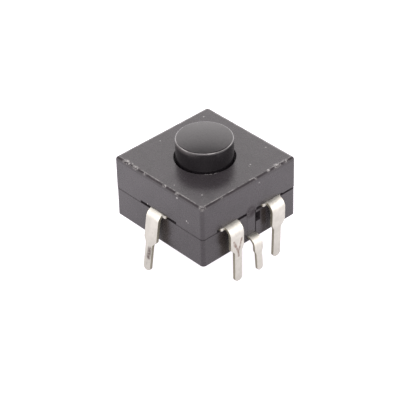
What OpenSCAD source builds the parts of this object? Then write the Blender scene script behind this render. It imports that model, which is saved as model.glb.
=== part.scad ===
// Push switch for a flashlight: a square two-part housing with a round button,
// a ratchet rotor that turns one step at each press, and five bent solder terminals.
// The origin is the centre of the base's underside, and +Z points along the button.

/* [Housing] */
// Width of the cover's square, both ways
body_w = 12.0; // [11.8:0.1:13.5]
// How far the base's sides stand in from the cover's sides
base_inset = 0.02; // [0:0.01:0.1]
// Height of the base, up to the parting line
base_h = 3.0; // [2.9:0.05:3.4]
// Height of the cover, from the parting line up
cover_h = 3.55; // [3.4:0.05:4.2]
// Rounding of the upright corners, and of the cover's top edges
corner_r = 0.35; // [0.3:0.05:0.6]
// Thickness of the base's floor
floor_t = 0.6; // [0.5:0.05:0.7]
// Thickness of the cover's roof, round the button
roof_t = 0.8; // [0.6:0.05:1]
// Height of the groove that the cover leaves open along the parting line
parting_gap = 0.07; // [0.03:0.01:0.1]
// Depth of that groove, from the cover's side
parting_depth = 0.25; // [0.1:0.05:0.35]
// Height of the open parting line beside the far right terminal
open_gap = 0.22; // [0.12:0.02:0.26]
// Chamfer of the button's hole
hole_chamfer = 0.03; // [0.02:0.01:0.1]
// Thickness of the wall between the well and the terminals' plates
well_wall = 0.15; // [0.1:0.01:0.25]

/* [Side notch] */
// Width of the notch beside the cover's tongue
notch_w = 0.6; // [0.4:0.05:0.8]
// Height of the notch
notch_h = 1.05; // [0.8:0.05:1.3]
// Depth of the notch
notch_depth = 0.6; // [0.4:0.05:0.9]
// Thickness of the ledge over the notch
notch_ledge = 0.22; // [0.2:0.02:0.4]
// Open seam between the tongue and the side of the base's slot, next to the notch
tongue_seam = 0.08; // [0.04:0.01:0.12]
// Diameter of the sink mark over the tongue
sink_mark_d = 1.1; // [0.8:0.05:1.2]
// Depth of the sink mark, from the cover's side
sink_mark_depth = 0.14; // [0.08:0.01:0.16]

/* [Button] */
// Diameter of the button
button_d = 5.5; // [5.2:0.05:5.9]
// Height of the button's rim over the cover at rest
button_rise = 2.15; // [1.7:0.05:3]
// Height of the crowned top over the rim
button_crown = 0.18; // [0.08:0.02:0.4]
// Rounding of the button's rim
button_rim_r = 0.2; // [0.06:0.02:0.3]
// Thickness of the button's top
button_cap_t = 0.8; // [0.6:0.1:1.2]
// Travel of the button
stroke = 1.5; // [1.2:0.05:1.6]
// Diameter of the flange that keeps the button in
flange_d = 6.9; // [6.6:0.1:7.2]
// Thickness of the flange
flange_t = 0.63; // [0.5:0.01:0.8]
// Reach of the guide keys beyond the flange
key_reach = 0.5; // [0.3:0.05:0.6]
// Width of the guide keys
key_w = 0.9; // [0.6:0.1:1.2]
// Gap all round between the button and the hole in the cover
hole_gap = 0.175; // [0.1:0.025:0.25]
// Gap all round between sliding plastic faces
slide_gap = 0.1; // [0.05:0.01:0.12]

/* [Ratchet] */
// Number of ratchet teeth, one for each step of the rotor
tooth_count = 8; // [6:2:12]
// Height of the ratchet teeth
tooth_h = 1.3; // [0.9:0.05:1.35]
// Outer diameter of the ring of teeth
tooth_ring_d = 4.3; // [3.8:0.1:4.8]
// How far the teeth stand back from the bore inside them
tooth_set = 0.05; // [0.02:0.01:0.1]
// Clearance between the teeth at the end of the stroke
mesh_gap = 0.05; // [0.03:0.01:0.1]
// Diameter of the rotor's rim
rotor_d = 8.4; // [8:0.1:8.6]
// Gap all round between the rotor's rim and the well
bearing_gap = 0.07; // [0.03:0.01:0.1]
// Gap between faces that run or press on each other
run_gap = 0.02; // [0.01:0.01:0.04]

/* [Moving contact] */
// Thickness of the moving contact's sheet
bridge_t = 0.15; // [0.1:0.01:0.2]
// Outer diameter of the moving contact's ring
bridge_ring_d = 4.2; // [3.8:0.1:4.8]
// Width of each contact arm
arm_w = 0.9; // [0.6:0.1:1.1]
// Length of the flat tip of each arm
arm_tip_l = 0.5; // [0.4:0.05:0.6]
// How far each arm leans out as it rises
arm_lean = 0.2; // [0.1:0.05:0.3]
// Distance from the rotor's rim to the tips of the arms
arm_inset = 0.12; // [0.08:0.01:0.2]
// Distance from the rotor's rim to the middle of the contact dimples
dimple_inset = 0.37; // [0.34:0.01:0.42]
// Height of the dimple at the end of each arm
dimple_h = 0.11; // [0.06:0.01:0.16]
// Radius of the ball that forms the dimple
dimple_r = 0.35; // [0.25:0.05:0.45]

/* [Spring] */
// Wire diameter of the return spring
wire_d = 0.22; // [0.16:0.02:0.28]
// Outer diameter of the return spring
spring_d = 2.3; // [2:0.05:2.4]
// Number of turns of the return spring
spring_turns = 9; // [6:1:14]
// Gap between the spring and the bores round it
spring_gap = 0.2; // [0.1:0.05:0.3]

/* [Terminals] */
// Thickness of the terminals' sheet
metal_t = 0.3; // [0.2:0.02:0.36]
// Width of the strip of an outer terminal
lead_w = 1.65; // [1.3:0.05:2]
// Width of the pin at the end of an outer terminal
pin_w = 0.9; // [0.6:0.05:1.1]
// Reach of every pin below the base's underside
lead_drop = 3.0; // [2:0.05:4]
// Distance between the two outer terminals of one side
lead_pitch = 5.38; // [5:0.02:5.6]
// Outer radius of the bends of the outer terminals
bend_r = 0.95; // [0.6:0.05:1.1]
// Distance from the housing's side to the outside of the outer leads
lead_out = 0.9; // [0.8:0.05:1.3]
// How far the pins of the pair stand closer to each other than their strips, each
pin_shift = 0.11; // [0:0.01:0.15]
// Height over the underside where the strip starts to narrow
taper_top = 1.05; // [0.6:0.05:1.4]
// Length of the narrowing
taper_len = 0.75; // [0.5:0.05:1]
// Length of the round tip of every pin
pin_tip_l = 0.38; // [0.2:0.02:0.5]
// Shift of the leads away from the housing's front corner
lead_shift = 0.2; // [0:0.05:0.25]
// Width of the shoulder beside the strip, on the side of the front corner
shoulder_w = 0.46; // [0.3:0.02:0.6]
// Width of the stub on the other side of the far right strip
stub_w = 0.2; // [0.1:0.02:0.3]
// How far the shoulders stand out of the wall
shoulder_out = 0.12; // [0.05:0.01:0.2]
// Length of the shoulders' slanted ends
shoulder_slant = 0.1; // [0.05:0.01:0.15]
// Distance from the base's side to the flat plates' outer edge
plate_setback = 0.55; // [0.3:0.05:0.6]
// Width of the flat plate of the single terminals inside the housing
side_plate_w = 4.8; // [4.2:0.1:5.2]
// Width over which a single terminal's contact finger joins its plate
finger_root = 1.8; // [1.2:0.1:2.2]
// Distance between the outer edges of the paired terminals' flat plates
pair_span = 8.3; // [8:0.1:8.6]
// Distance between the inner edges of the paired terminals' flat plates
pair_plate_gap = 1.3; // [1.2:0.05:1.4]
// Distance from the housing's side to the outside of the left lead, at its bend
left_out = 0.64; // [0.56:0.02:1]
// Outward lean of the left lead
left_lean = 9; // [0:0.5:10]
// Height over the underside where the left strip starts to narrow
left_taper_top = 0.35; // [0.2:0.05:1.2]
// How far the left pin stands to one side of its strip's middle, away from the front corner
left_pin_shift = 0.12; // [0:0.01:0.2]
// Outward lean of the lead of the far right terminal
far_lean = -2; // [-4:0.5:4]
// Width of the common terminal's strip
common_w = 1.05; // [0.8:0.05:1.2]
// Width of the common terminal's pin
common_pin_w = 0.75; // [0.6:0.05:1]
// Distance from the housing's side to the outside of the common lead
common_out = 0.95; // [0.9:0.05:1.4]
// Outer radius of the common lead's bend
common_bend_r = 0.85; // [0.6:0.05:0.85]
// Depth under the underside where the common strip starts to narrow
common_taper_low = 0.7; // [0.5:0.05:1.2]
// Length of that narrowing
common_taper_len = 0.5; // [0.3:0.05:0.8]
// Outward lean of the common lead
common_lean = 4.5; // [0:0.5:8]
// Diameter of the common terminal's round pad
common_pad_d = 4.4; // [4:0.1:5]
// Gap all round between a terminal and its seat
fit_gap = 0.04; // [0.02:0.01:0.08]

/* [Pegs] */
// Diameter of the pegs that join the two housing parts
corner_peg_d = 0.8; // [0.6:0.05:0.9]
// Height of those pegs
corner_peg_h = 1.2; // [0.8:0.1:1.6]
// Distance from the pegs' centres to the base's sides
corner_peg_inset = 0.8; // [0.7:0.05:0.9]
// Distance from the pegs that hold the terminals to the plates' edges
plate_peg_margin = 0.2; // [0.14:0.02:0.24]
// Height of those pegs over the plate
plate_peg_h = 0.25; // [0.1:0.05:0.4]
// Room over every peg in its hole
peg_room = 0.1; // [0.05:0.01:0.15]

/* [Hidden] */
$fn = 64;

plastic = "#2d2b2e";
button_plastic = "#232225";
rotor_plastic = "#e8e4da";
tinned = "#d8d4cc";
bronze = "#c89a5a";
steel = "#b4b7bb";

// A little more than a cut, so that no skin is left
slack = 0.01;
// How far fused pieces reach into each other
sink = 0.1;

// Heights of the parts, from the floor up
body_h = base_h + cover_h;
contact_z = base_h;
bridge_z = floor_t + run_gap;
rotor_z = bridge_z + bridge_t + run_gap;
flange_z = body_h - roof_t - run_gap - flange_t;
rotor_deck_z = flange_z - tooth_h - stroke - mesh_gap;
rim_z = body_h + button_rise;
spring_top_z = rim_z - button_cap_t;

// Radii round the button's axis
well_r = rotor_d / 2 + bearing_gap;
bore_r = flange_d / 2 + slide_gap;
spring_bore_r = spring_d / 2 + spring_gap;
tooth_in_r = spring_bore_r + tooth_set;
hole_r = button_d / 2 + hole_gap;
arm_r = rotor_d / 2 - arm_inset;
knee_r = arm_r - arm_tip_l - arm_lean;
spot_r = rotor_d / 2 - dimple_inset;
key_r = flange_d / 2 + key_reach;

// The sides of the housing, and where the flat plates lie
side_x = body_w / 2;
base_side_x = side_x - base_inset;
plate_end_x = base_side_x - plate_setback;
rim_x = well_r + well_wall;
plate_peg_x = (rim_x + plate_end_x) / 2;
plate_peg_d = plate_end_x - rim_x - 2 * plate_peg_margin;
pair_peg_y = (pair_plate_gap + pair_span) / 4;
side_peg_y = side_plate_w / 2 - plate_peg_margin - plate_peg_d / 2;
spot_xy = spot_r * cos(45);
slot_w = common_w + 2 * fit_gap;
step_angle = 360 / tooth_count;

// A square with rounded corners
module rounded_square(w, r) {
    square([w - 2 * r, w], center = true);
    square([w, w - 2 * r], center = true);
    for (x = [-1, 1], y = [-1, 1])
        translate([x * (w / 2 - r), y * (w / 2 - r)]) circle(r);
}

// The cover's outer form: a square block with rounded upright corners and top edges
module cover_block() {
    straight = body_w - 2 * corner_r;
    shoulder_z = cover_h - corner_r;
    linear_extrude(shoulder_z) rounded_square(body_w, corner_r);
    translate([-straight / 2, -straight / 2, 0]) cube([straight, straight, cover_h]);
    for (a = [0:90:270]) rotate([0, 0, a]) translate([straight / 2, 0, shoulder_z]) {
        rotate([90, 0, 0]) cylinder(r = corner_r, h = straight, center = true);
        translate([0, straight / 2, 0]) sphere(corner_r);
    }
}

// The four places of the pegs near the corners
module at_corners() {
    peg_x = base_side_x - corner_peg_inset;
    for (x = [-1, 1], y = [-1, 1]) translate([x * peg_x, y * peg_x, 0]) children();
}

// The four outer terminals' places: children stand with +X pointing out of the housing.
// The front corner, between the left and the right side, lies to +Y of all but the far right one.
module at_left() { rotate([0, 0, -90]) children(); }
module at_rear() { rotate([0, 0, 90]) mirror([0, 1, 0]) children(); }
module at_far_right() { children(); }
module at_near_right() { mirror([0, 1, 0]) children(); }

// Flat outline of a plate of the pair, grown by a gap, from its contact spot to the wall.
// The lead's shift is away from its own front corner, so it is given with its sign.
module pair_plate(gap, end_x, shift) {
    low_y = pair_plate_gap / 2 + shift - gap;
    translate([rim_x - gap, low_y]) square([end_x - rim_x + gap, pair_span / 2 + gap - low_y]);
    translate([spot_xy - arm_w / 2 - gap, spot_xy - arm_w / 2 - gap])
        square([rim_x - spot_xy + arm_w / 2 + slack + 2 * gap, arm_w + 2 * gap]);
}

// Flat outline of a single terminal's plate, whose contact finger reaches out to one side
module side_plate(gap, end_x) {
    low_y = -spot_xy - arm_w / 2 - gap;
    translate([rim_x - gap, -side_plate_w / 2 - gap])
        square([end_x - rim_x + gap, side_plate_w + 2 * gap]);
    translate([spot_xy - arm_w / 2 - gap, low_y])
        square([rim_x - spot_xy + arm_w / 2 + slack + 2 * gap, finger_root - side_plate_w / 2 + gap - low_y]);
}

// Smooth step from 0 to 1
function ease(t) = (1 - cos(180 * t)) / 2;

// Front view of a lead below its bend: a strip that narrows to a round-tipped pin, which may
// stand to one side of the strip's middle
module leg_outline(w, pin, len, taper_at, taper, shift) {
    tip_angles = [0:10:90];
    function taper_point(s, t) =
        [s * (w / 2 - (w - pin) / 2 * ease(t)) + shift * ease(t), -taper_at - taper * t];
    function side(s) = concat(
        [[s * w / 2, 0]],
        [for (i = [0:10]) taper_point(s, i / 10)],
        [for (a = tip_angles) [shift + s * pin / 2 * cos(a), pin_tip_l * (1 - sin(a)) - len]]
    );
    right = side(1);
    left = side(-1);
    polygon(concat(right, [for (i = [len(left) - 2:-1:0]) left[i]]));
}

// A bent lead: a quarter bend of outer radius r, whose top is at z = top, and the leg below it.
// The leg leans out by an angle and ends at the level of every pin.
module bent_lead(w, pin, x, top, r, lean, taper_z, taper, shift) {
    in_r = r - metal_t;
    centre_z = top - r;
    len = (centre_z + lead_drop + min(in_r * sin(lean), r * sin(lean))) / cos(lean);
    translate([x, 0, centre_z]) {
        rotate([90, 0, 0]) rotate([0, 0, lean]) rotate_extrude(angle = 90 - lean)
            translate([in_r, -w / 2]) square([metal_t, w]);
        rotate([0, -lean, 0]) translate([in_r, 0, 0]) rotate([90, 0, 90]) linear_extrude(metal_t)
            leg_outline(w, pin, len, centre_z - taper_z, taper, shift);
    }
}

// The lead of an outer terminal, with a shoulder to +Y and, where it has one, a stub to -Y
module outer_lead(out, lean, stub, shift, narrow_z = taper_top) {
    bend_x = side_x + out - bend_r;
    bent_lead(lead_w, pin_w, bend_x, contact_z + metal_t, bend_r, lean, narrow_z, taper_len, shift);
    translate([plate_end_x - sink, -lead_w / 2, contact_z])
        cube([bend_x - plate_end_x + sink, lead_w, metal_t]);
    translate([plate_end_x - sink, 0, contact_z]) linear_extrude(metal_t) {
        shoulder(shoulder_w);
        if (stub > 0) mirror([0, 1]) shoulder(stub);
    }
}

// A flat stub beside the strip, whose end is cut off at a slant
module shoulder(w) {
    reach = side_x + shoulder_out - plate_end_x + sink;
    polygon([
        [0, lead_w / 2 - slack], [reach, lead_w / 2 - slack], [reach, lead_w / 2 + w - shoulder_slant],
        [reach - shoulder_slant, lead_w / 2 + w], [0, lead_w / 2 + w]
    ]);
}

module single_terminal() {
    translate([0, 0, contact_z]) linear_extrude(metal_t) difference() {
        side_plate(0, plate_end_x);
        translate([plate_peg_x, side_peg_y]) circle(d = plate_peg_d + 2 * fit_gap);
    }
    translate([0, -lead_shift, 0]) children();
}

// The lead's shift has the sign of its side: towards +Y or -Y of the pair's middle
module paired_terminal(shift) {
    translate([0, 0, contact_z]) linear_extrude(metal_t) difference() {
        pair_plate(0, plate_end_x, shift);
        translate([plate_peg_x, pair_peg_y]) circle(d = plate_peg_d + 2 * fit_gap);
    }
    translate([0, lead_pitch / 2 + shift, 0]) children();
}

module terminal_left() {
    color(tinned) at_left() single_terminal()
        outer_lead(left_out, left_lean, 0, -left_pin_shift, left_taper_top);
}
module terminal_rear() { color(tinned) at_rear() single_terminal() outer_lead(lead_out, 0, 0, 0); }
module terminal_near_right() {
    color(tinned) at_near_right() paired_terminal(-lead_shift)
        outer_lead(lead_out, 0, 0, -pin_shift);
}
module terminal_far_right() {
    color(tinned) at_far_right() paired_terminal(lead_shift)
        mirror([0, 1, 0]) outer_lead(lead_out, far_lean, stub_w, pin_shift);
}

// The common terminal lies in the floor, under the spring and the moving contact
module terminal_common() {
    bend_x = side_x + common_out - common_bend_r;
    color(tinned) {
        translate([0, 0, floor_t - metal_t]) {
            cylinder(d = common_pad_d, h = metal_t);
            translate([0, lead_shift - common_w / 2, 0]) cube([bend_x, common_w, metal_t]);
        }
        translate([0, lead_shift, 0])
            bent_lead(common_w, common_pin_w, bend_x, floor_t, common_bend_r, common_lean,
                      -common_taper_low, common_taper_len, 0);
    }
}

// Square block with the round well for the rotor, the common terminal's channel, the slot
// that its lead drops into, the notch beside that slot, and the pegs
module housing_base() {
    color(plastic) {
        difference() {
            linear_extrude(base_h) rounded_square(2 * base_side_x, corner_r);
            translate([0, 0, floor_t]) cylinder(r = well_r, h = base_h);
            translate([0, 0, floor_t - metal_t]) {
                cylinder(d = common_pad_d + 2 * fit_gap, h = base_h);
                translate([0, lead_shift - slot_w / 2, 0]) cube([body_w, slot_w, base_h]);
            }
            translate([base_side_x - notch_depth, lead_shift, base_h - notch_ledge - notch_h])
                cube([body_w, common_w / 2 + notch_w, notch_h]);
        }
        at_corners() translate([0, 0, base_h - sink])
            cylinder(d = corner_peg_d, h = corner_peg_h + sink);
        at_plate_pegs() translate([0, 0, base_h - sink])
            cylinder(d = plate_peg_d, h = sink + metal_t + plate_peg_h);
    }
}

module at_plate_pegs() {
    at_left() translate([plate_peg_x, side_peg_y, 0]) children();
    at_rear() translate([plate_peg_x, side_peg_y, 0]) children();
    at_near_right() translate([plate_peg_x, pair_peg_y, 0]) children();
    at_far_right() translate([plate_peg_x, pair_peg_y, 0]) children();
}

// The cover: a square shell with the button's hole and bore, key grooves, the pockets
// that hold the terminals down, and the tongue with its sink mark
module housing_cover() {
    color(plastic) {
        difference() {
            union() {
                difference() {
                    translate([0, 0, base_h]) cover_block();
                    translate([0, 0, base_h - slack]) cover_openings();
                }
                cover_tongue();
            }
            sink_mark();
        }
    }
}

// All that the cover is hollowed by, standing a little under the parting line
module cover_openings() {
    roof_z = cover_h - roof_t + slack;
    cylinder(r = hole_r, h = body_h);
    translate([0, 0, cover_h + slack - hole_chamfer])
        cylinder(r1 = hole_r, r2 = hole_r + 2 * hole_chamfer, h = 2 * hole_chamfer);
    cylinder(r = bore_r, h = roof_z);
    for (a = [0:90:270]) rotate([0, 0, a]) translate([0, -key_w / 2 - slide_gap, 0])
        cube([key_r + slide_gap, key_w + 2 * slide_gap, roof_z]);
    linear_extrude(metal_t + run_gap + slack) {
        at_left() side_plate(fit_gap, body_w);
        at_rear() side_plate(fit_gap, body_w);
        at_near_right() pair_plate(fit_gap, body_w, -lead_shift);
        at_far_right() pair_plate(fit_gap, body_w, lead_shift);
    }
    translate([plate_end_x, pair_span / 2, 0]) cube([body_w, body_w, open_gap + slack]);
    parting_groove();
    at_corners() cylinder(d = corner_peg_d + 2 * run_gap, h = corner_peg_h + peg_room + slack);
    at_plate_pegs()
        cylinder(d = plate_peg_d + 2 * fit_gap, h = metal_t + plate_peg_h + peg_room + slack);
}

// The thin groove that runs round the cover's lower edge, over the parting line
module parting_groove() {
    linear_extrude(parting_gap + slack) difference() {
        square(2 * body_w, center = true);
        rounded_square(body_w - 2 * parting_depth, corner_r - parting_depth / 2);
    }
}

// The tongue that fills the base's slot over the common lead
module cover_tongue() {
    translate([rim_x, lead_shift - slot_w / 2 + run_gap, floor_t + run_gap])
        cube([base_side_x - rim_x, slot_w - run_gap - tongue_seam, base_h - floor_t - run_gap + sink]);
}

// A shallow hollow where the thick plastic over the tongue has shrunk
module sink_mark() {
    ball_r = (pow(sink_mark_d / 2, 2) + pow(sink_mark_depth, 2)) / (2 * sink_mark_depth);
    translate([side_x + ball_r - sink_mark_depth, lead_shift, base_h]) sphere(ball_r);
}

// Side view of the button, half of it: bore, flange, barrel and crowned top
module button_profile() {
    r = button_d / 2;
    crown_r = (pow(r, 2) + pow(button_crown, 2)) / (2 * button_crown);
    span = asin((r - button_rim_r) / crown_r);
    polygon(concat(
        [[0, flange_z], [flange_d / 2, flange_z], [flange_d / 2, flange_z + flange_t],
         [r, flange_z + flange_t]],
        [for (a = [0:15:75]) [r - button_rim_r * (1 - cos(a)), rim_z - button_rim_r * (1 - sin(a))]],
        [for (i = [0:8]) let (a = span * (1 - i / 8))
            [crown_r * sin(a), rim_z + crown_r * (cos(a) - cos(span))]]
    ));
}

module push_button() {
    color(button_plastic) {
        difference() {
            rotate_extrude() button_profile();
            cylinder(r = spring_bore_r, h = spring_top_z);
        }
        for (a = [0:90:270]) rotate([0, 0, a])
            translate([flange_d / 2 - sink, -key_w / 2, flange_z])
                cube([key_reach + sink, key_w, flange_t]);
        translate([0, 0, flange_z]) rotate([180, 0, 0]) saw_ring();
    }
}

// A ring of ratchet teeth whose ramps climb evenly with the angle.
// It stands on z = 0 and reaches down into what carries it.
module saw_ring() {
    parts = 5;
    per = parts + 1;
    out_r = tooth_ring_d / 2;
    total = tooth_count * per;
    function angle(i) = step_angle * (floor(i / per) + (i % per) / parts);
    function ring(r, z) = [for (i = [0:total - 1]) [r * cos(angle(i)), r * sin(angle(i)), z]];
    function ramp(r) = [for (i = [0:total - 1])
        [r * cos(angle(i)), r * sin(angle(i)), tooth_h * (i % per) / parts]];
    points = concat(ramp(out_r), ramp(tooth_in_r), ring(out_r, -sink), ring(tooth_in_r, -sink));
    in_top = total;
    out_low = 2 * total;
    in_low = 3 * total;
    slopes = [for (t = [0:tooth_count - 1], j = [0:parts - 1]) let (a = t * per + j, b = a + 1)
        each [[a, b, in_top + a], [b, in_top + b, in_top + a]]];
    walls = [for (t = [0:tooth_count - 1], j = [0:parts - 1])
        let (a = t * per + j, b = a + 1, last = j == parts - 1, n = (a + 2) % total,
             low = last ? n : b)
        each [
            last ? [out_low + a, out_low + low, n, b, a] : [out_low + a, out_low + b, b, a],
            last ? [in_top + a, in_top + b, in_top + n, in_low + low, in_low + a]
                 : [in_top + a, in_top + b, in_low + b, in_low + a],
            [out_low + a, in_low + a, in_low + low, out_low + low]
        ]];
    steps = [for (t = [0:tooth_count - 1]) let (b = t * per + parts, n = (b + 1) % total)
        [b, n, in_top + n, in_top + b]];
    polyhedron(points, [for (f = concat(slopes, walls, steps)) [for (i = [len(f) - 1:-1:0]) f[i]]]);
}

// The rotor: a disc that turns in the well, notched for the contact arms, with the teeth on top
module ratchet_rotor() {
    notch = arm_w + 2 * slide_gap;
    color(rotor_plastic) {
        difference() {
            translate([0, 0, rotor_z]) cylinder(d = rotor_d, h = rotor_deck_z - rotor_z);
            cylinder(r = spring_bore_r, h = body_h);
            for (a = [0:90:270]) rotate([0, 0, a])
                translate([knee_r - 2 * bridge_t, -notch / 2, 0]) cube([rotor_d, notch, body_h]);
        }
        translate([0, 0, rotor_deck_z]) saw_ring();
    }
}

// Side view of a contact arm: flat under the rotor, up through its notch, and flat again on top
module arm_profile() {
    t = bridge_t;
    low = bridge_z;
    high = contact_z - run_gap - dimple_h;
    top_r = arm_r - arm_tip_l;
    polygon([
        [bridge_ring_d / 2 - sink, low], [knee_r, low], [top_r + t, high - t],
        [arm_r, high - t], [arm_r, high], [top_r - t / 4, high], [knee_r - t, low + t],
        [bridge_ring_d / 2 - sink, low + t]
    ]);
}

// The stamped moving contact: a ring on the common pad and four arms that touch the outer plates
module moving_contact() {
    high = contact_z - run_gap - dimple_h;
    color(bronze) {
        translate([0, 0, bridge_z]) difference() {
            cylinder(d = bridge_ring_d, h = bridge_t);
            translate([0, 0, -slack]) cylinder(r = spring_bore_r, h = bridge_t + 2 * slack);
        }
        for (a = [0:90:270]) rotate([0, 0, a]) {
            rotate([90, 0, 0]) linear_extrude(arm_w, center = true) arm_profile();
            intersection() {
                translate([spot_r, 0, contact_z - run_gap - dimple_r]) sphere(dimple_r);
                translate([spot_r - dimple_r, -dimple_r, high - bridge_t / 2])
                    cube(2 * dimple_r);
            }
        }
    }
}

// The return spring: an even helix whose two end turns lie closed
module return_spring() {
    sides = 8;
    per_turn = 20;
    r = (spring_d - wire_d) / 2;
    low = floor_t + run_gap + wire_d / 2;
    high = spring_top_z - run_gap - wire_d / 2;
    closed = 1;
    open_turns = spring_turns - 2 * closed;
    pitch = (high - low - 2 * closed * wire_d) / open_turns;
    count = spring_turns * per_turn;
    function rise(n) = n < closed ? wire_d * n
        : n < spring_turns - closed ? wire_d * closed + pitch * (n - closed)
        : wire_d * (closed + n - spring_turns + closed) + pitch * open_turns;
    function section(i) = [for (k = [0:sides - 1])
        let (a = 360 * i / per_turn, s = 360 * k / sides, out = r + wire_d / 2 * cos(s))
        [out * cos(a), out * sin(a), low + rise(i / per_turn) + wire_d / 2 * sin(s)]];
    points = [for (i = [0:count]) each section(i)];
    side_faces = [for (i = [0:count - 1], k = [0:sides - 1])
        let (a = i * sides + k, b = i * sides + (k + 1) % sides)
        each [[a, b, b + sides], [a, b + sides, a + sides]]];
    ends = [[for (k = [sides - 1:-1:0]) k], [for (k = [0:sides - 1]) count * sides + k]];
    color(steel) polyhedron(points, concat(side_faces, ends));
}

housing_base();
housing_cover();
push_button();
return_spring();
ratchet_rotor();
moving_contact();
terminal_left();
terminal_rear();
terminal_near_right();
terminal_far_right();
terminal_common();
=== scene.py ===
import math

import bmesh
import bpy
from mathutils import Matrix, Vector


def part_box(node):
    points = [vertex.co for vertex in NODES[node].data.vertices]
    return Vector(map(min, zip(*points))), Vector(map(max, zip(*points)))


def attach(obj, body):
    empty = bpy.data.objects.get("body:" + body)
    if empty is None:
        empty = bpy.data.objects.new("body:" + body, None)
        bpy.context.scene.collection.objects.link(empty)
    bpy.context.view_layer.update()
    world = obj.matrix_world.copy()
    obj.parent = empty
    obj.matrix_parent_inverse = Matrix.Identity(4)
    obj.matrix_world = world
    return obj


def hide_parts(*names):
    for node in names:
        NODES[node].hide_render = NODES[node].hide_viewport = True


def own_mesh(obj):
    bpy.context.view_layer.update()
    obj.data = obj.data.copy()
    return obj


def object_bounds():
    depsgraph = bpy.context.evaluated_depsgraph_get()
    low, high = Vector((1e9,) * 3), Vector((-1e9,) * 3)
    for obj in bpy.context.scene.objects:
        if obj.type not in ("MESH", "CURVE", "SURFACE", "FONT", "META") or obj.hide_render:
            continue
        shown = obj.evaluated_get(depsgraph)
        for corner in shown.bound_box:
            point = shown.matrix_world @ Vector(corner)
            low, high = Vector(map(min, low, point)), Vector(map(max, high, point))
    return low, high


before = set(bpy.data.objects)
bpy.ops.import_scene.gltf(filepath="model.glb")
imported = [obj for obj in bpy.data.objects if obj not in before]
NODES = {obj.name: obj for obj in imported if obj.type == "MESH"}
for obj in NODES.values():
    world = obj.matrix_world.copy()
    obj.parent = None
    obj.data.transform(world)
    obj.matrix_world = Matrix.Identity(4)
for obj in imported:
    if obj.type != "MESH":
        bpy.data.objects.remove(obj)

# The push switch as the photograph shows it: worn black plastic, tinned leads with rounded cut
# edges and a few stains, and a return spring in round wire. The rest of the form is the CAD's.
# The plastic and the leads also carry painted highlights and painted shade.

CAD_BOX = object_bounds()
MM = 0.001               # one millimetre, in metres

# ---------------------------------------------------------------- sizes, in millimetres
COVER_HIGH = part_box("housing_cover")[1] / MM
SPRING_LOW, SPRING_HIGH = (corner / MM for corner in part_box("return_spring"))
HALF_BODY = COVER_HIGH.x           # the housing's side walls, from the middle
TOP_Z = COVER_HIGH.z               # the cover's flat top
LEAD_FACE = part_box("terminal_near_right")[1].x / MM    # the outer face of the near right lead
PARTING_Z = 3.0                    # the parting line
EDGE_R = 0.35                      # rounding of the cover's top edges
HOLE_EDGE_R = 2.94                 # the edge of the hole in the cover's top
BUTTON_PROUD = 2.15                # from the cover's top to the button's rim
RIM_Z = TOP_Z + BUTTON_PROUD
BUTTON_R = 2.75                    # the button's side

BURR_R = 0.045                     # rounding of the terminals' cut edges
BURR_STEPS = 3
BURR_PROFILE = 0.6
WELD = 1e-4                        # corners closer than this become one
FLAT_ANGLE = 0.5                   # degrees: faces that meet at less become one
CUT_ANGLE = 50                     # degrees: edges that turn by more are cut edges
TERMINAL_SHARP = 40                # degrees: edges that turn by more are shaded sharp
SPRING_SHARP = 50

WIRE_R = 0.11
WIRE_SIDES = 14
SPRING_R = SPRING_HIGH.x - WIRE_R  # middle of the wire
SPRING_TURNS = 9                   # with one closed turn at each end
STEPS_PER_TURN = 32

# ---------------------------------------------------------------- camera
CAM_AZIMUTH = 47.853     # degrees round +Z from the -Y side
CAM_ELEVATION = 36.263   # degrees over the horizon
CAM_ROLL = -1.538        # degrees
CAM_DISTANCE = 170.956 * MM
CAM_AIM = Vector((0, 0, 3.0 * MM))
CAM_SLIDE = (-0.528 * MM, -1.224 * MM)   # sideways and up, across the view
CAM_LENS = 163.02        # millimetres, as is the sensor's width
SENSOR = 36.0
CLIP_NEAR, CLIP_FAR = 0.01, 10.0         # metres


def make_camera():
    """The camera at the photograph's viewing angle."""
    azimuth, elevation = math.radians(CAM_AZIMUTH), math.radians(CAM_ELEVATION)
    back = Vector((
        math.sin(azimuth) * math.cos(elevation),
        -math.cos(azimuth) * math.cos(elevation),
        math.sin(elevation),
    ))
    level = (-back).cross(Vector((0, 0, 1))).normalized()
    upright = level.cross(-back)
    roll = math.radians(CAM_ROLL)
    right = level * math.cos(roll) + upright * math.sin(roll)
    up = upright * math.cos(roll) - level * math.sin(roll)
    data = bpy.data.cameras.new("camera")
    data.lens = CAM_LENS
    data.sensor_width = SENSOR
    data.clip_start = CLIP_NEAR
    data.clip_end = CLIP_FAR
    camera = bpy.data.objects.new("camera", data)
    bpy.context.scene.collection.objects.link(camera)
    turn = Matrix((right, up, back)).transposed()
    slide = right * CAM_SLIDE[0] + up * CAM_SLIDE[1]
    camera.matrix_world = (
        Matrix.Translation(CAM_AIM + back * CAM_DISTANCE + slide) @ turn.to_4x4())
    bpy.context.scene.camera = camera


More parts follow.
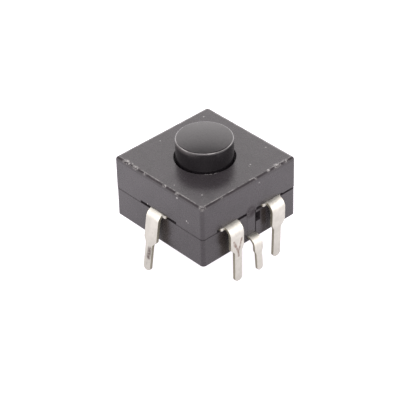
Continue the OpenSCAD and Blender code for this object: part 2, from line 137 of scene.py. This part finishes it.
# ---------------------------------------------------------------- node helpers
class Nodes:
    """A short way to write a material's node tree. Places are in millimetres."""

    def __init__(self, name):
        self.material = bpy.data.materials.new(name)
        self.material.use_nodes = True
        self.tree = self.material.node_tree
        self.shader = self.tree.nodes["Principled BSDF"]
        scale = self.add("ShaderNodeVectorMath", operation="SCALE")
        scale.inputs["Scale"].default_value = 1 / MM
        coordinates = self.add("ShaderNodeTexCoord")
        self.link(coordinates.outputs["Object"], scale.inputs[0])
        self.place = scale.outputs[0]
        split = self.add("ShaderNodeSeparateXYZ")
        self.link(self.place, split.inputs[0])
        self.x, self.y, self.z = split.outputs
        turned = self.add("ShaderNodeSeparateXYZ")
        self.link(coordinates.outputs["Normal"], turned.inputs[0])
        self.normal = turned.outputs

    def add(self, kind, **settings):
        """A node with some of its sockets or settings set."""
        node = self.tree.nodes.new(kind)
        for key, value in settings.items():
            if key in node.inputs:
                node.inputs[key].default_value = value
            else:
                setattr(node, key, value)
        return node

    def link(self, source, target):
        self.tree.links.new(source, target)

    def put(self, name, value):
        """Feeds one of the shader's sockets with a link, a number or a colour."""
        socket = self.shader.inputs[name]
        if isinstance(value, (int, float)):
            socket.default_value = value
        elif isinstance(value, tuple):
            socket.default_value = (*value, 1.0)
        else:
            self.link(value, socket)

    def noise(self, scale, detail=2.0, roughness=0.5, where=None):
        """Cloudy values round 0.5, in waves of about 1 mm divided by the scale."""
        node = self.add("ShaderNodeTexNoise", Scale=scale, Detail=detail, Roughness=roughness)
        self.link(self.place if where is None else where, node.inputs["Vector"])
        return node.outputs["Fac"]

    def stretched(self, x, y, z):
        """The place with each axis scaled by itself, for streaks."""
        node = self.add("ShaderNodeVectorMath", operation="MULTIPLY")
        self.link(self.place, node.inputs[0])
        node.inputs[1].default_value = (x, y, z)
        return node.outputs[0]

    def ramp(self, value, low, high, out_low=0.0, out_high=1.0):
        """A smooth step between two values, as a value goes from low to high."""
        node = self.add("ShaderNodeMapRange", interpolation_type="SMOOTHSTEP")
        for name, number in (("From Min", low), ("From Max", high),
                             ("To Min", out_low), ("To Max", out_high)):
            node.inputs[name].default_value = number
        self.link(value, node.inputs["Value"])
        return node.outputs["Result"]

    def math(self, operation, a, b=None):
        """One step of arithmetic on one or two values, each a link or a number."""
        node = self.add("ShaderNodeMath", operation=operation)
        for socket, value in zip(node.inputs, (a, b)):
            if value is None:
                continue
            if isinstance(value, (int, float)):
                socket.default_value = value
            else:
                self.link(value, socket)
        return node.outputs[0]

    def product(self, *values):
        """The product of some values."""
        result = values[0]
        for value in values[1:]:
            result = self.math("MULTIPLY", result, value)
        return result

    def most(self, *values):
        """The highest of some values."""
        result = values[0]
        for value in values[1:]:
            result = self.math("MAXIMUM", result, value)
        return result

    def from_axis(self):
        """The distance from the part's upright axis."""
        return self.math("SQRT", self.math(
            "ADD", self.product(self.x, self.x), self.product(self.y, self.y)))

    def band(self, value, middle, half, soft):
        """1 where a value is within half of the middle, falling to 0 over a soft edge."""
        off = self.math("ABSOLUTE", self.math("SUBTRACT", value, middle))
        return self.ramp(off, half + soft, half)

    def spot(self, at, radius, soft=0.6):
        """1 inside a ball, falling to 0 at its radius."""
        node = self.add("ShaderNodeVectorMath", operation="DISTANCE")
        self.link(self.place, node.inputs[0])
        node.inputs[1].default_value = at
        return self.ramp(node.outputs["Value"], radius, radius * (1 - soft))

    def spots(self, places, soft):
        """1 inside any of some balls, each a place and a radius."""
        return self.most(*(self.spot(at, radius, soft) for at, radius in places))

    def streak(self, start, end, radius, soft=0.6):
        """1 along a line between two places, falling to 0 at a radius."""
        start, end = Vector(start), Vector(end)
        along = end - start
        offset = self.add("ShaderNodeVectorMath", operation="SUBTRACT")
        self.link(self.place, offset.inputs[0])
        offset.inputs[1].default_value = start
        reach = self.add("ShaderNodeVectorMath", operation="DOT_PRODUCT")
        self.link(offset.outputs[0], reach.inputs[0])
        reach.inputs[1].default_value = along / along.length_squared
        clamped = self.math("MINIMUM", self.math("MAXIMUM", reach.outputs["Value"], 0.0), 1.0)
        nearest = self.add("ShaderNodeVectorMath", operation="SCALE")
        nearest.inputs[0].default_value = along
        self.link(clamped, nearest.inputs["Scale"])
        gap = self.add("ShaderNodeVectorMath", operation="DISTANCE")
        self.link(offset.outputs[0], gap.inputs[0])
        self.link(nearest.outputs[0], gap.inputs[1])
        return self.ramp(gap.outputs["Value"], radius, radius * (1 - soft))

    def streaks(self, lines, soft):
        """1 along any of some lines, each two places and a radius."""
        return self.most(*(self.streak(*line, soft) for line in lines))

    def mix(self, factor, a, b):
        """Colour a, turning into colour b as the factor goes from 0 to 1."""
        node = self.add("ShaderNodeMix", data_type="RGBA")
        sockets = (node.inputs[i] for i in (0, 6, 7))    # the factor and the two colours
        for socket, value in zip(sockets, (factor, a, b)):
            if isinstance(value, tuple):
                socket.default_value = (*value, 1.0)
            elif isinstance(value, (int, float)):
                socket.default_value = value
            else:
                self.link(value, socket)
        return node.outputs[2]                           # the colour

    def bump(self, height, distance, strength=1.0, below=None):
        """A normal bent by a height of so many millimetres, over another bump or none."""
        node = self.add("ShaderNodeBump", Distance=distance * MM, Strength=strength)
        self.link(height, node.inputs["Height"])
        if below is not None:
            self.link(below, node.inputs["Normal"])
        return node.outputs[0]


# ---------------------------------------------------------------- materials
WHITE = (1.0, 1.0, 1.0)
HOUSING_BLACK = (0.0185, 0.0160, 0.0180)
HOUSING_ROUGHNESS, HOUSING_GRAIN, HOUSING_IOR = 0.27, 0.0022, 1.43
BUTTON_BLACK = (0.0045, 0.0038, 0.0045)
BUTTON_ROUGHNESS, BUTTON_GRAIN, BUTTON_IOR = 0.22, 0.0005, 1.5
# painted sheen on the button's side
BUTTON_SHEEN_GREY = (0.045, 0.041, 0.041)
MOTTLED = (1.07, 1.05, 1.05), (0.91, 0.89, 0.89)     # tints of the button's gloss
# pale grey of scuffs, dust and painted highlights
SCUFF_AND_HIGHLIGHT_GREY = (0.30, 0.29, 0.285)
GRIME_AND_SHADE_GLOSS = (0.12, 0.09, 0.08)                           # tint of the gloss under grime and under painted shade
# painted shade: brown of the walls beside the leads
LEAD_SHADE_BROWN = (0.016, 0.0125, 0.0105)
TIN = (0.51, 0.497, 0.45)
UP_FACING_HIGHLIGHT, TARNISHED, STREAKED, SPOTTED = 1.28, 0.6, 0.72, 0.6     # parts of the tin's colour; the first is a painted highlight on faces that look up
# bare metal of the cut edges, darkened further as painted shade
CUT_EDGE_AND_SHADE = (0.24, 0.225, 0.18)
BRONZE, BRONZE_ROUGHNESS = (0.75, 0.48, 0.24), 0.3
STEEL, STEEL_ROUGHNESS = (0.55, 0.55, 0.56), 0.25
NATURAL_WHITE = (0.75, 0.72, 0.64), (0.68, 0.66, 0.60)

# Nicks along the top edges: place and radius
NICKS = (
    ((-4.3, -5.85, 6.45), 0.8), ((-3.2, -5.8, 6.48), 0.45), ((-1.9, -5.85, 6.45), 0.3),
    ((5.85, 3.7, 6.45), 0.6), ((5.8, 4.8, 6.5), 0.4), ((5.8, 2.6, 6.5), 0.25),
    ((5.8, -3.4, 6.5), 0.2), ((5.8, 0.9, 6.5), 0.2),
    ((5.75, -5.75, 6.45), 0.45), ((2.5, -5.85, 6.48), 0.32), ((0.8, -5.85, 6.5), 0.28),
)
# Specks on the faces: place across the face and radius
TOP_SPECKS = (
    (-4.92, 4.47, 0.1), (-4.83, -1.26, 0.09), (2.97, 5.04, 0.1), (3.93, 2.09, 0.11),
    (4.05, 1.8, 0.07), (1.39, -5.13, 0.08), (4.3, -4.39, 0.09),
)
LEFT_SPECKS = (
    (2.68, 6.2, 0.13), (-0.45, 1.48, 0.08), (3.89, 4.23, 0.1), (4.1, 4.14, 0.07),
    (-1.47, 3.36, 0.09),
)
RIGHT_SPECKS = ((1.2, 5.99, 0.08),)
SPECKS = (
    *(((x, y, TOP_Z), radius) for x, y, radius in TOP_SPECKS),
    *(((HALF_BODY, y, z), radius) for y, z, radius in RIGHT_SPECKS),
    *(((x, -HALF_BODY, z), radius) for x, z, radius in LEFT_SPECKS),
)
SINK_MARK_SHADE = (HALF_BODY, 0.1, 3.2), 0.85              # over the tongue, darkened as painted shade: place and radius
HOLE_HIGHLIGHT_SPOT = (2.5, -1.45, TOP_Z), 1.0                # where the painted highlight on the hole's edge sits
RIM_SHEEN_SPOT = (-0.6, -2.7, RIM_Z - 0.2), 2.6                 # where a painted sheen lightens the button's side under the rim

# Lines from place to place, with a radius
SEAM = (HALF_BODY, 0.725, 2.7), (HALF_BODY, 0.725, 0.4), 0.11    # beside the tongue
LEAD_SHADE_LINES = (                                        # painted shade of the leads, browned, on the walls beside three of them
    ((0.75, -HALF_BODY, 2.7), (0.7, -HALF_BODY, 0.6), 0.95),
    ((HALF_BODY, -3.4, 2.3), (HALF_BODY, -3.3, 0.6), 0.9),
    ((HALF_BODY, 1.75, 2.5), (HALF_BODY, 1.8, 1.2), 0.5),
)
# Stains of solder and flux on the leads: colour, then lines
STAINS = {
    "terminal_near_right": ((0.20, 0.145, 0.12), (
        ((LEAD_FACE, -2.95, 1.75), (LEAD_FACE, -2.42, 0.5), 0.17),
        ((LEAD_FACE, -1.95, 1.75), (LEAD_FACE, -2.3, 0.6), 0.16),
        ((LEAD_FACE, -2.42, 0.55), (LEAD_FACE, -2.35, -0.1), 0.16),
        ((LEAD_FACE, -2.85, 1.45), (LEAD_FACE, -2.7, 1.15), 0.22),
    )),
    "terminal_left": ((0.085, 0.065, 0.058), (
        ((-0.15, -7.0, -0.6), (-0.22, -7.2, -1.5), 0.42),
        ((-0.38, -7.0, -1.0), (-0.42, -7.2, -2.4), 0.27),
        ((0.0, -7.0, -1.2), (-0.06, -7.2, -2.9), 0.27),
        ((-0.1, -6.9, 1.35), (0.0, -6.9, 1.2), 0.1),
    )),
}
SHADED_LEADS = {"terminal_left": 0.87, "terminal_far_right": 0.94}    # leads whose tin is darkened as painted shade


def times(colour, factor):
    """A colour made brighter or darker by a factor."""
    return tuple(factor * c for c in colour)


def black_plastic(n, colour, roughness, grain):
    """Moulded black plastic: faint cloudy colour, uneven gloss and a fine grain."""
    cloud = n.noise(0.6, 3.0)
    base = n.mix(n.ramp(cloud, 0.3, 0.7), colour, times(colour, 1.25))
    gloss = n.noise(2.5, 3.0)
    fine = n.noise(9.0, 3.0, 0.6)
    rough = n.ramp(gloss, 0.3, 0.7, roughness - 0.03, roughness + 0.04)
    return base, rough, n.bump(fine, grain, 0.5)


def worn_edge_highlight(n, past_flat):
    """The pale line along the cover's rounded top edges, wear with a painted highlight, broken
    up.
    """
    high = n.ramp(n.z, TOP_Z - EDGE_R, TOP_Z - 0.5 * EDGE_R)
    broken = n.ramp(n.noise(1.1, 4.0, 0.7), 0.38, 0.6, 0.15, 0.9)
    fine_break = n.ramp(n.noise(7.0, 2.0), 0.3, 0.6, 0.5, 1.0)
    return n.product(n.band(past_flat, 0.03, 0.03, 0.05), high, broken, fine_break)


def hole_highlight(n):
    """The dashed painted highlight on the front of the hole's edge."""
    dashes = n.ramp(n.noise(6.0, 1.0), 0.42, 0.55)
    return n.product(
        n.band(n.from_axis(), HOLE_EDGE_R, 0.02, 0.04), n.ramp(n.z, TOP_Z - 0.1, TOP_Z - 0.02),
        n.spot(*HOLE_HIGHLIGHT_SPOT, 0.3), dashes)


def housing_grime_and_shade(n, out, past_flat, lead_shade):
    """Grime in the parting line and beside the tongue, with painted shade under the top edges,
    in the sink mark and beside the leads.
    """
    slow = n.noise(0.8, 2.0)
    on_wall = n.ramp(out, HALF_BODY - 0.1, HALF_BODY - 0.04)
    parting = n.product(n.band(n.z, PARTING_Z + 0.035, 0.05, 0.05), on_wall,
                        n.ramp(slow, 0.35, 0.6, 0.35, 0.9))
    # painted shade: a dark line under the rounded top edges
    shade_under_edge = n.product(n.band(past_flat, 0.2, 0.03, 0.07),
                           n.ramp(n.z, TOP_Z - 0.34, TOP_Z - 0.26),
                           n.ramp(slow, 0.3, 0.55, 0.35, 0.85))
    return n.most(n.product(lead_shade, 0.7), n.spot(*SINK_MARK_SHADE, 0.5), parting, shade_under_edge,
                  n.streak(*SEAM, 0.5))


def housing_plastic():
    """The housing's plastic, with worn top edges, nicks, specks, dust and grime, painted
    highlights on the top edges and the hole's edge, and painted shade beside the leads, under
    the top edges and in the sink mark.
    """
    n = Nodes("housing_plastic")
    base, rough, bumped = black_plastic(n, HOUSING_BLACK, HOUSING_ROUGHNESS, HOUSING_GRAIN)
    out = n.math("MAXIMUM", n.math("ABSOLUTE", n.x), n.math("ABSOLUTE", n.y))
    past_flat = n.math("SUBTRACT", out, HALF_BODY - EDGE_R)

    ragged = n.ramp(n.noise(6.5, 4.0, 0.8), 0.48, 0.56)
    off_edge = n.math("ABSOLUTE", n.math("SUBTRACT", past_flat, 0.05))
    nicks = n.product(n.spots(NICKS, 0.5), n.ramp(off_edge, 0.3, 0.05), ragged)
    dust = n.ramp(n.noise(6.0, 3.0, 0.75), 0.7, 0.78, 0.0, 0.32)
    # pale marks: wear, nicks, specks and dust, with painted highlights on the top edges and the
    # hole's edge
    pale = n.most(n.product(worn_edge_highlight(n, past_flat), 0.55), nicks,
                  n.product(n.spots(SPECKS, 0.8), 0.9), dust, hole_highlight(n))

    # painted shade beside three leads: browner colour and dimmer gloss
    lead_shade = n.streaks(LEAD_SHADE_LINES, 0.8)
    # the gloss dimmed by grime at the joints and by painted shade
    n.put("Specular Tint", n.mix(housing_grime_and_shade(n, out, past_flat, lead_shade), WHITE, GRIME_AND_SHADE_GLOSS))
    # the base is browned beside the leads as painted shade, under the pale marks
    n.put("Base Color", n.mix(pale, n.mix(n.product(lead_shade, 0.8), base, LEAD_SHADE_BROWN), SCUFF_AND_HIGHLIGHT_GREY))
    n.put("Roughness", n.math("ADD", rough, n.product(pale, 0.35)))
    n.put("Normal", n.bump(n.product(nicks, ragged), 0.04, 0.8, bumped))
    n.put("IOR", HOUSING_IOR)
    return n.material


def button_plastic():
    """The button's smoother plastic, with a painted highlight along its rim and a painted sheen
    under it at the front.
    """
    n = Nodes("button_plastic")
    base, rough, bumped = black_plastic(n, BUTTON_BLACK, BUTTON_ROUGHNESS, BUTTON_GRAIN)
    radius = n.from_axis()
    # painted highlight: a bright line round the rim, broken up
    ring = n.product(n.band(radius, BUTTON_R - 0.06, 0.008, 0.03),
                     n.ramp(n.z, RIM_Z - 0.14, RIM_Z - 0.08))
    uneven = n.ramp(n.noise(0.9, 3.0), 0.35, 0.65, 0.2, 0.9)
    dust = n.ramp(n.noise(6.0, 3.0, 0.75), 0.74, 0.8, 0.0, 0.2)
    # pale marks: dust, and the painted highlight on the rim
    pale = n.most(n.product(ring, uneven, 0.8), dust)
    # painted sheen: the side lighter under the rim at the front
    sheen_under_rim = n.product(n.ramp(n.z, RIM_Z - 0.6, RIM_Z - 0.25),
                       n.ramp(radius, BUTTON_R - 0.1, BUTTON_R - 0.04), n.spot(*RIM_SHEEN_SPOT, 0.7))
    mottle = n.ramp(n.noise(5.0, 4.0, 0.75), 0.4, 0.6)
    n.put("Specular Tint", n.mix(mottle, *MOTTLED))
    n.put("Base Color", n.mix(pale, n.mix(n.product(sheen_under_rim, 0.8), base, BUTTON_SHEEN_GREY), SCUFF_AND_HIGHLIGHT_GREY))
    n.put("Roughness", n.math("ADD", rough, n.product(pale, 0.2)))
    n.put("Normal", bumped)
    n.put("IOR", BUTTON_IOR)
    return n.material


def tinned_metal(name, cut_axis):
    """Tin-plated brass, satin and slightly warm, with a painted highlight on faces that look up,
    duller cut edges across one axis that are also darkened as painted shade, and some leads
    darker as painted shade.
    """
    n = Nodes("tinned_brass_" + name)
    # painted shade: the tin of some leads darker
    tin = times(TIN, SHADED_LEADS.get(name, 1.0))
    facing_up_highlight = n.ramp(n.normal[2], 0.25, 0.7)    # faces that look up, brightened as a painted highlight
    base = n.mix(facing_up_highlight, tin, times(TIN, UP_FACING_HIGHLIGHT))
    cloud = n.noise(1.3, 3.0)
    base = n.mix(n.ramp(cloud, 0.35, 0.65, 0.0, 0.25), base, times(tin, TARNISHED))
    streaks = n.noise(1.0, 3.0, 0.6, n.stretched(5.0, 5.0, 0.7))
    base = n.mix(n.ramp(streaks, 0.5, 0.75, 0.0, 0.4), base, times(TIN, STREAKED))
    spots = n.ramp(n.noise(5.0, 4.0, 0.65), 0.62, 0.75, 0.0, 0.6)
    base = n.mix(spots, base, times(TIN, SPOTTED))
    if name in STAINS:
        colour, lines = STAINS[name]
        ragged = n.ramp(n.noise(3.5, 4.0, 0.7), 0.34, 0.54, 0.3, 1.0)
        stain = n.product(n.streaks(lines, 0.75), ragged)
        base = n.mix(n.product(stain, 0.9), base, colour)
    # the cut edges in bare metal, darkened further as painted shade
    side = n.ramp(n.math("ABSOLUTE", n.normal[cut_axis]), 0.75, 0.95)
    n.put("Base Color", n.mix(side, base, CUT_EDGE_AND_SHADE))
    n.put("Roughness", n.math("ADD", n.ramp(cloud, 0.3, 0.7, 0.4, 0.5), n.product(side, 0.15)))
    n.put("Normal", n.bump(n.noise(7.0, 3.0), 0.006, 0.5))
    n.put("Metallic", 1.0)
    return n.material


def bare_metal(name, colour, roughness):
    """Bright drawn or stamped metal, for the spring and the moving contact."""
    n = Nodes(name)
    cloud = n.noise(3.0, 3.0)
    n.put("Base Color", n.mix(cloud, colour, times(colour, 0.8)))
    n.put("Roughness", n.ramp(cloud, 0.3, 0.7, roughness, roughness + 0.1))
    n.put("Normal", n.bump(n.noise(12.0, 2.0), 0.005, 0.4))
    n.put("Metallic", 1.0)
    return n.material


def pale_plastic():
    """The rotor's natural white plastic."""
    n = Nodes("rotor_plastic")
    cloud = n.noise(1.0, 3.0)
    n.put("Base Color", n.mix(cloud, *NATURAL_WHITE))
    n.put("Roughness", n.ramp(cloud, 0.3, 0.7, 0.4, 0.5))
    n.put("Normal", n.bump(n.noise(10.0, 3.0), 0.01, 0.4))
    n.put("Subsurface Weight", 0.1)
    n.put("Subsurface Scale", 0.5 * MM)
    return n.material


def dress(piece, material):
    """Gives a piece its one material."""
    piece.data.materials.clear()
    piece.data.materials.append(material)


# ---------------------------------------------------------------- pieces
def mesh_from(work, name, sharp_angle):
    """A smooth-shaded mesh that breaks at edges over so many degrees."""
    mesh = bpy.data.meshes.new(name)
    work.to_mesh(mesh)
    work.free()
    mesh.polygons.foreach_set("use_smooth", [True] * len(mesh.polygons))
    mesh.set_sharp_from_angle(angle=math.radians(sharp_angle))
    mesh.update()
    return mesh


def new_piece(mesh, body, node):
    """A piece of the scene that stands for a CAD node and moves with its body."""
    piece = bpy.data.objects.new(mesh.name, mesh)
    bpy.context.scene.collection.objects.link(piece)
    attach(piece, body)
    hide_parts(node)
    return piece


def stamped_terminal(name):
    """A terminal whose cut edges are rounded, as a punch leaves them."""
    work = bmesh.new()
    work.from_mesh(NODES[name].data)
    bmesh.ops.remove_doubles(work, verts=work.verts, dist=WELD * MM)
    bmesh.ops.dissolve_limit(
        work, angle_limit=math.radians(FLAT_ANGLE), verts=work.verts, edges=work.edges)
    cut = [edge for edge in work.edges
           if len(edge.link_faces) == 2 and edge.calc_face_angle() > math.radians(CUT_ANGLE)]
    bmesh.ops.bevel(work, geom=cut, offset=BURR_R * MM, offset_type="OFFSET",
                    segments=BURR_STEPS, profile=BURR_PROFILE, affect="EDGES",
                    clamp_overlap=True)
    bmesh.ops.triangulate(work, faces=work.faces)
    mesh = mesh_from(work, name + "_sheet", TERMINAL_SHARP)
    return new_piece(mesh, "housing", name)


def wire_middle(turn):
    """The middle of the spring's wire, so many turns from its lower end: angle and height."""
    low, high = SPRING_LOW.z + WIRE_R, SPRING_HIGH.z - WIRE_R
    open_turns = SPRING_TURNS - 2
    pitch = (high - low - 4 * WIRE_R) / open_turns
    closed_part = min(turn, 1) + max(turn - SPRING_TURNS + 1, 0)
    open_part = min(max(turn - 1, 0), open_turns)
    return 2 * math.pi * turn, low + 2 * WIRE_R * closed_part + pitch * open_part


def coil_spring():
    """The return spring in round wire, with a closed turn at each end."""
    work = bmesh.new()
    rings = []
    for step in range(SPRING_TURNS * STEPS_PER_TURN + 1):
        angle, height = wire_middle(step / STEPS_PER_TURN)
        ring = []
        for side in range(WIRE_SIDES):
            round_wire = 2 * math.pi * side / WIRE_SIDES
            out = SPRING_R + WIRE_R * math.cos(round_wire)
            place = Vector((out * math.cos(angle), out * math.sin(angle),
                            height + WIRE_R * math.sin(round_wire)))
            ring.append(work.verts.new(place * MM))
        rings.append(ring)
    for lower, upper in zip(rings, rings[1:]):
        for side in range(WIRE_SIDES):
            after = (side + 1) % WIRE_SIDES
            work.faces.new((lower[side], lower[after], upper[after], upper[side]))
    work.faces.new(list(reversed(rings[0])))
    work.faces.new(rings[-1])
    bmesh.ops.recalc_face_normals(work, faces=work.faces)
    mesh = mesh_from(work, "return_spring_wire", SPRING_SHARP)
    piece = new_piece(mesh, "housing", "return_spring")
    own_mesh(piece)
    return piece


def dress_part():
    """Every piece and CAD node in its material."""
    housing = housing_plastic()
    dress(NODES["housing_base"], housing)
    dress(NODES["housing_cover"], housing)
    dress(NODES["push_button"], button_plastic())
    dress(NODES["ratchet_rotor"], pale_plastic())
    dress(NODES["moving_contact"], bare_metal("contact_bronze", BRONZE, BRONZE_ROUGHNESS))
    wire = bare_metal("spring_steel", STEEL, STEEL_ROUGHNESS)
    dress(coil_spring(), wire)
    dress(NODES["return_spring"], wire)
    for name in sorted(node for node in NODES if node.startswith("terminal_")):
        cut_axis = 0 if name in ("terminal_left", "terminal_rear") else 1
        metal = tinned_metal(name, cut_axis)
        dress(stamped_terminal(name), metal)
        dress(NODES[name], metal)


# ---------------------------------------------------------------- studio
SKY = 2.65                              # brightness of the white tent
SKY_TINT = (1.0, 0.965, 0.97)
ZENITH = 0.35                           # its brightness overhead
DARK_FROM, DARK_TO = 38, 52             # degrees of elevation over which the tent darkens
FRONT = (0.42, -0.42, 0.8)              # the way to the light over the part's front corner
FRONT_WIDE, FRONT_NARROW = 36, 20       # degrees from there, where it starts and is full
FRONT_LIGHT = 5.0
FLOOR_HALF = 1.5                        # metres
FLOOR_WHITE = (0.20, 0.19, 0.20)
FLOOR_ROUGHNESS = 0.9
FLOOR_LIGHT = (1.03, 0.995, 1.04)
FLOOR_NEAR, FLOOR_FAR = 0.88, 1.45      # its glow by the part's front corner, dimmed there as a painted shadow, and away from it
FLOOR_SHADOW_AT = (4.0, -4.0, -3.0)        # middle of the painted shadow on the floor, in millimetres, as are the next two
FLOOR_SHADOW_FROM, FLOOR_SHADOW_TO = 5.0, 22.0


def make_floor():
    """A wide pale floor under the leads, lit from below so that it is plain white, its glow
    dimmed by the part's front corner as a painted shadow.
    """
    low = CAD_BOX[0].z
    corners = [(-FLOOR_HALF, -FLOOR_HALF), (FLOOR_HALF, -FLOOR_HALF),
               (FLOOR_HALF, FLOOR_HALF), (-FLOOR_HALF, FLOOR_HALF)]
    mesh = bpy.data.meshes.new("floor")
    mesh.from_pydata([(x, y, low) for x, y in corners], [], [(0, 1, 2, 3)])
    floor = bpy.data.objects.new("floor", mesh)
    bpy.context.scene.collection.objects.link(floor)
    n = Nodes("floor")
    n.put("Base Color", FLOOR_WHITE)
    n.put("Emission Color", FLOOR_LIGHT)
    away = n.add("ShaderNodeVectorMath", operation="DISTANCE")
    n.link(n.place, away.inputs[0])
    away.inputs[1].default_value = FLOOR_SHADOW_AT
    # painted shadow: the floor's glow dimmer near the part's front corner
    n.put("Emission Strength", n.ramp(
        away.outputs["Value"], FLOOR_SHADOW_FROM, FLOOR_SHADOW_TO, FLOOR_NEAR, FLOOR_FAR))
    n.put("Roughness", FLOOR_ROUGHNESS)
    floor.data.materials.append(n.material)


def world_ramp(tree, value, low, high, out_low, out_high):
    """A smooth step in the world's node tree."""
    node = tree.nodes.new("ShaderNodeMapRange")
    node.interpolation_type = "SMOOTHSTEP"
    for name, number in (("From Min", low), ("From Max", high),
                         ("To Min", out_low), ("To Max", out_high)):
        node.inputs[name].default_value = number
    tree.links.new(value, node.inputs["Value"])
    return node.outputs["Result"]


def make_tent():
    """A white tent that darkens overhead, with a soft light over the part's front corner."""
    world = bpy.data.worlds.new("tent")
    world.use_nodes = True
    tree = world.node_tree
    way = tree.nodes.new("ShaderNodeTexCoord").outputs["Generated"]
    split = tree.nodes.new("ShaderNodeSeparateXYZ")
    tree.links.new(way, split.inputs[0])
    tent = world_ramp(tree, split.outputs["Z"], math.sin(math.radians(DARK_FROM)),
                      math.sin(math.radians(DARK_TO)), SKY, ZENITH)
    facing = tree.nodes.new("ShaderNodeVectorMath")
    facing.operation = "DOT_PRODUCT"
    facing.inputs[1].default_value = FRONT
    tree.links.new(way, facing.inputs[0])
    front = world_ramp(tree, facing.outputs["Value"], math.cos(math.radians(FRONT_WIDE)),
                       math.cos(math.radians(FRONT_NARROW)), 0.0, FRONT_LIGHT)
    brighter = tree.nodes.new("ShaderNodeMath")
    brighter.operation = "MAXIMUM"
    tree.links.new(tent, brighter.inputs[0])
    tree.links.new(front, brighter.inputs[1])
    background = tree.nodes["Background"]
    background.inputs["Color"].default_value = (*SKY_TINT, 1)
    tree.links.new(brighter.outputs[0], background.inputs["Strength"])
    bpy.context.scene.world = world


make_camera()
dress_part()
make_floor()
make_tent()
bpy.context.scene.view_settings.view_transform = "Standard"
